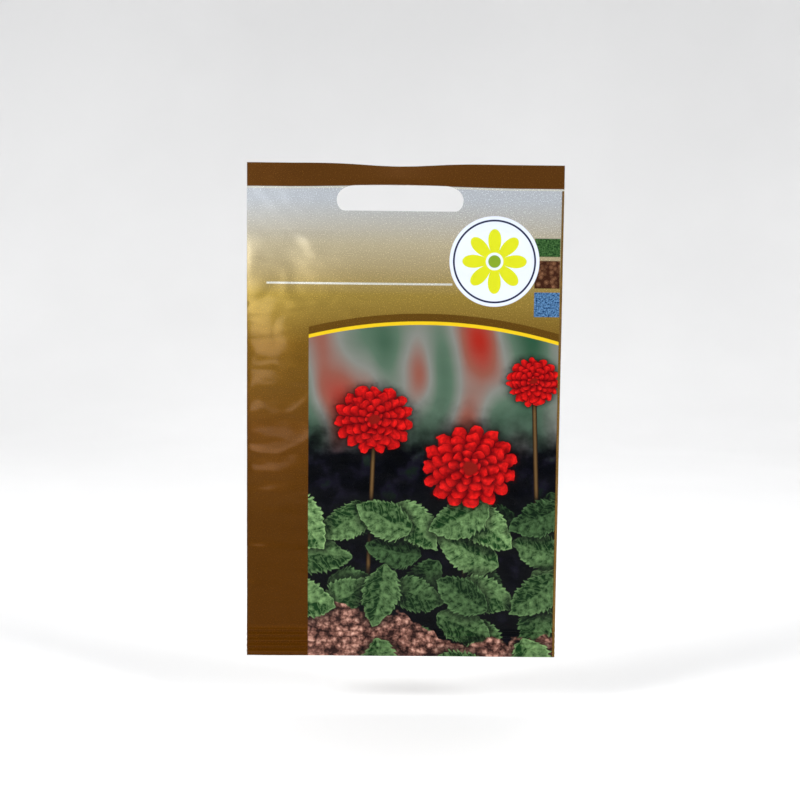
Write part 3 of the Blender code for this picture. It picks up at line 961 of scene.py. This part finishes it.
def film_material(colours):
    """Printed metallised film. All its print is read at the film's place on the web."""
    material = bpy.data.materials.new("printed film")
    material.use_nodes = True
    tree = material.node_tree
    place = Value(add_node(tree, "ShaderNodeUVMap", uv_map=PLACE_MAP).outputs[0])
    split = add_node(tree, "ShaderNodeSeparateXYZ", {"Vector": place})
    along, up = Value(split.outputs["X"]), Value(split.outputs["Y"])
    colour, foil, fin = whole_print(along, up, place, colours)
    speckle = noise(place, SPECKLE_SIZE, 3.0, 0.7)
    sheen = speckle.times_plus(SPECKLE_DEPTH, SPECKLE_DARKEST)
    grey = add_node(tree, "ShaderNodeCombineColor", {"Red": sheen, "Green": sheen, "Blue": sheen})
    coat = smooth(up, COAT_FROM, COAT_TO).times_plus(COAT_MORE, COAT_LOW)
    lines = abs((along * FIN_LINES).maths("FRACT") - 0.5) * fin
    height = lines.times_plus(LINE_HEIGHT, speckle * GRAIN_HEIGHT)
    relief_inputs = {"Height": height, "Strength": BUMP_STRENGTH, "Distance": BUMP_DEPTH}
    finish = {
        "Base Color": mix(foil, colour, Value(grey.outputs[0]), "MULTIPLY"),
        "Metallic": foil * METAL,
        "Roughness": speckle.times_plus(ROUGHNESS_SPREAD, SMOOTHEST),
        "Coat Weight": foil * coat,
        "Coat Roughness": COAT_ROUGHNESS,
        "Specular IOR Level": GLOSS,
        "Normal": Value(add_node(tree, "ShaderNodeBump", relief_inputs).outputs[0]),
    }
    for name, item in finish.items():
        feed(tree.nodes["Principled BSDF"].inputs[name], item)
    return material


def mottle_group():
    """Soft mottling between two colours. Gives the colour, and a roughness that varies with it."""
    if "Mottle" in bpy.data.node_groups:
        return bpy.data.node_groups["Mottle"]
    tree, place, scale, dark, light, rough = new_group(
        "Mottle", ("Place", "Scale", "Dark", "Light", "Middle Roughness"), ("Colour", "Roughness")
    )
    spots = noise(place, scale, 4.0, 0.6)
    colour = mix(smooth(spots, 0.3, 0.7), dark, light)
    return close_group(tree, Colour=colour, Roughness=(spots - 0.5).times_plus(0.2, rough))


def mottled_material(name, dark, light, scale, roughness):
    """A surface mottled between two colours, read at the piece's own place."""
    material = bpy.data.materials.new(name)
    material.use_nodes = True
    tree = material.node_tree
    place = Value(add_node(tree, "ShaderNodeTexCoord").outputs["Object"])
    colour = use_group(mottle_group(), {
        "Place": place, "Scale": scale, "Dark": dark, "Light": light, "Middle Roughness": roughness,
    })
    shader = tree.nodes["Principled BSDF"]
    feed(shader.inputs["Base Color"], colour)
    feed(shader.inputs["Roughness"], Value(colour.socket.node.outputs["Roughness"]))
    return material


class PACKET_OT_film(bpy.types.Operator):
    """Add the folded film in place of its plain solid"""

    bl_idname = "packet.film"
    bl_label = "Film"

    def execute(self, context):
        web = Web(context.scene.packet_sizes)
        dark, light = linear(176, 172, 164), linear(222, 220, 214)
        edge = mottled_material("cut edge", dark, light, scale=900.0, roughness=0.4)
        film = add_piece(film_mesh(web), film_material(context.scene.packet_colours), edge)
        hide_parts("film_pouch")
        return {"FINISHED"}


class PACKET_OT_seeds(bpy.types.Operator):
    """Add the drift of seeds in place of its plain solid"""

    bl_idname = "packet.seeds"
    bl_label = "Seeds"

    def execute(self, context):
        web = Web(context.scene.packet_sizes)
        dark, light = linear(38, 24, 16), tuple(context.scene.packet_colours.seeds)
        coat = mottled_material("seed coat", dark, light, scale=1400.0, roughness=0.6)
        seeds = add_piece(seed_mesh(web), coat)
        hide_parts("seeds")
        return {"FINISHED"}


# The camera, fitted to the packet's corners and slot in the photograph
CAMERA_PLACE = (-3.0 * MM, -350.0 * MM, -21.2 * MM)
AZIMUTH = math.radians(-0.57)
ELEVATION = math.radians(5.33)
ROLL = math.radians(0.61)
CAMERA_LENS = 61.9


def add_camera():
    """The camera at the photograph's angle."""
    camera = bpy.data.objects.new("camera", bpy.data.cameras.new("camera"))
    bpy.context.scene.collection.objects.link(camera)
    flat = math.cos(ELEVATION)
    back = Vector((math.sin(AZIMUTH) * flat, -math.cos(AZIMUTH) * flat, math.sin(ELEVATION)))
    level = Vector((math.cos(AZIMUTH), math.sin(AZIMUTH), 0.0))
    upright = back.cross(level)
    right = level * math.cos(ROLL) + upright * math.sin(ROLL)
    up = upright * math.cos(ROLL) - level * math.sin(ROLL)
    turn = Matrix((right, up, back)).transposed().to_4x4()
    camera.matrix_world = Matrix.Translation(CAMERA_PLACE) @ turn
    camera.data.lens = CAMERA_LENS
    camera.data.sensor_width = 36.0
    camera.data.clip_start = 0.01
    bpy.context.scene.camera = camera


# Studio, in metres: the floor's drop under the packet, its front edge, the wall and the round between
FLOOR_DROP = 14 * MM
FLOOR_FRONT, WALL, ROUND, HALF_WIDTH, WALL_HEIGHT = -1.2, 0.9, 0.35, 2.4, 2.0
ROUND_STEPS = 33
PACKET_MIDDLE = (0.0, 0.0, -0.06)

# Lamps: name, place, what it is turned to (or the packet's middle), size, spread in degrees and power
LAMPS = (
    ("left window", (-0.32, -0.80, 0.0), None, (0.20, 0.26), 50, 0.05),
    ("left softbox", (-0.85, -0.50, 0.45), None, (0.4, 0.6), 50, 1.15),
    ("right softbox", (0.85, -0.55, 0.40), None, (0.4, 0.6), 50, 1.15),
    ("top light", (0.0, 0.55, 1.1), (0.0, 0.35, -0.13), (1.4, 0.5), 110, 0.9),
    ("wall light", (0.0, 0.25, 1.1), (0.0, 0.9, 0.3), (2.0, 0.5), 140, 8.0),
)

# Light all round, dimmer from the camera's side
DIM_AIR, BRIGHT_AIR, AIR_STRENGTH = (0.42, 0.425, 0.44), (0.95, 0.97, 1.0), 0.4


def sweep_mesh():
    """A floor that curves up into a wall: in profile a straight, a quarter circle and a straight."""
    low = FILM_LOW.z - FLOOR_DROP
    arc = np.linspace(0.0, math.pi / 2, ROUND_STEPS)
    y = np.concatenate([[FLOOR_FRONT], WALL - ROUND + ROUND * np.sin(arc), [WALL]])
    z = np.concatenate([[low], low + ROUND - ROUND * np.cos(arc), [low + WALL_HEIGHT]])
    x = np.linspace(-HALF_WIDTH, HALF_WIDTH, 3)[:, None]
    points = np.stack(np.broadcast_arrays(x, y, z), axis=-1)
    numbers = np.arange(points[..., 0].size).reshape(3, len(y))
    quads = np.stack([numbers[:-1, :-1], numbers[1:, :-1], numbers[1:, 1:], numbers[:-1, 1:]], axis=-1)
    return mesh_from("studio_sweep", points, quads.reshape(-1, 4), np.empty((0, 3), dtype=int))


def add_light(name, place, aim, size, spread, power):
    """A soft rectangular lamp turned to a point."""
    lamp = bpy.data.lights.new(name, "AREA")
    lamp.shape = "RECTANGLE"
    lamp.size, lamp.size_y = size
    lamp.spread = math.radians(spread)
    lamp.energy = power
    light = bpy.data.objects.new(name, lamp)
    bpy.context.scene.collection.objects.link(light)
    light.location = place
    light.rotation_euler = (Vector(aim) - Vector(place)).to_track_quat("-Z", "Y").to_euler()


def studio_air():
    """Soft light all round, less of it from the camera's side, so that dark print stays dark."""
    world = bpy.data.worlds.new("studio air")
    world.use_nodes = True
    tree = world.node_tree
    way = Value(add_node(tree, "ShaderNodeTexCoord").outputs["Generated"])
    parts = add_node(tree, "ShaderNodeSeparateXYZ", {"Vector": way})
    glow = smooth(Value(parts.outputs["Y"]), -0.3, 0.5)
    background = tree.nodes["Background"]
    feed(background.inputs["Color"], mix(glow, DIM_AIR, BRIGHT_AIR))
    background.inputs["Strength"].default_value = AIR_STRENGTH
    return world


class PACKET_OT_studio(bpy.types.Operator):
    """Add the floor, the lights and the camera"""

    bl_idname = "packet.studio"
    bl_label = "Studio"

    def execute(self, context):
        sweep = bpy.data.objects.new("studio_sweep", sweep_mesh())
        context.scene.collection.objects.link(sweep)
        dark, light = linear(236, 236, 236), linear(242, 242, 242)
        paper = mottled_material("studio floor", dark, light, scale=3.0, roughness=0.7)
        sweep.data.materials.append(paper)
        for name, place, aim, size, spread, power in LAMPS:
            add_light(name, place, aim or PACKET_MIDDLE, size, spread, power)
        context.scene.world = studio_air()
        context.scene.view_settings.view_transform = "Standard"
        add_camera()
        return {"FINISHED"}


class PACKET_PT_panel(bpy.types.Panel):
    """Sizes of the packet and the buttons that build it"""

    bl_idname = "PACKET_PT_panel"
    bl_label = "Seed Packet"
    bl_space_type = "VIEW_3D"
    bl_region_type = "UI"
    bl_category = "Seed Packet"

    def draw(self, context):
        for choices in (context.scene.packet_sizes, context.scene.packet_colours):
            for name in type(choices).__annotations__:
                self.layout.prop(choices, name)
        for operator in OPERATORS:
            self.layout.operator(operator.bl_idname)


OPERATORS = (PACKET_OT_film, PACKET_OT_seeds, PACKET_OT_studio)
CLASSES = (PacketSizes, PacketColours, *OPERATORS, PACKET_PT_panel)


def register():
    for item in CLASSES:
        bpy.utils.register_class(item)
    bpy.types.Scene.packet_sizes = bpy.props.PointerProperty(type=PacketSizes)
    bpy.types.Scene.packet_colours = bpy.props.PointerProperty(type=PacketColours)


def unregister():
    del bpy.types.Scene.packet_sizes
    del bpy.types.Scene.packet_colours
    for item in reversed(CLASSES):
        bpy.utils.unregister_class(item)


def main():
    register()
    bpy.ops.packet.film()
    bpy.ops.packet.seeds()
    bpy.ops.packet.studio()


if __name__ == "__main__":
    main()
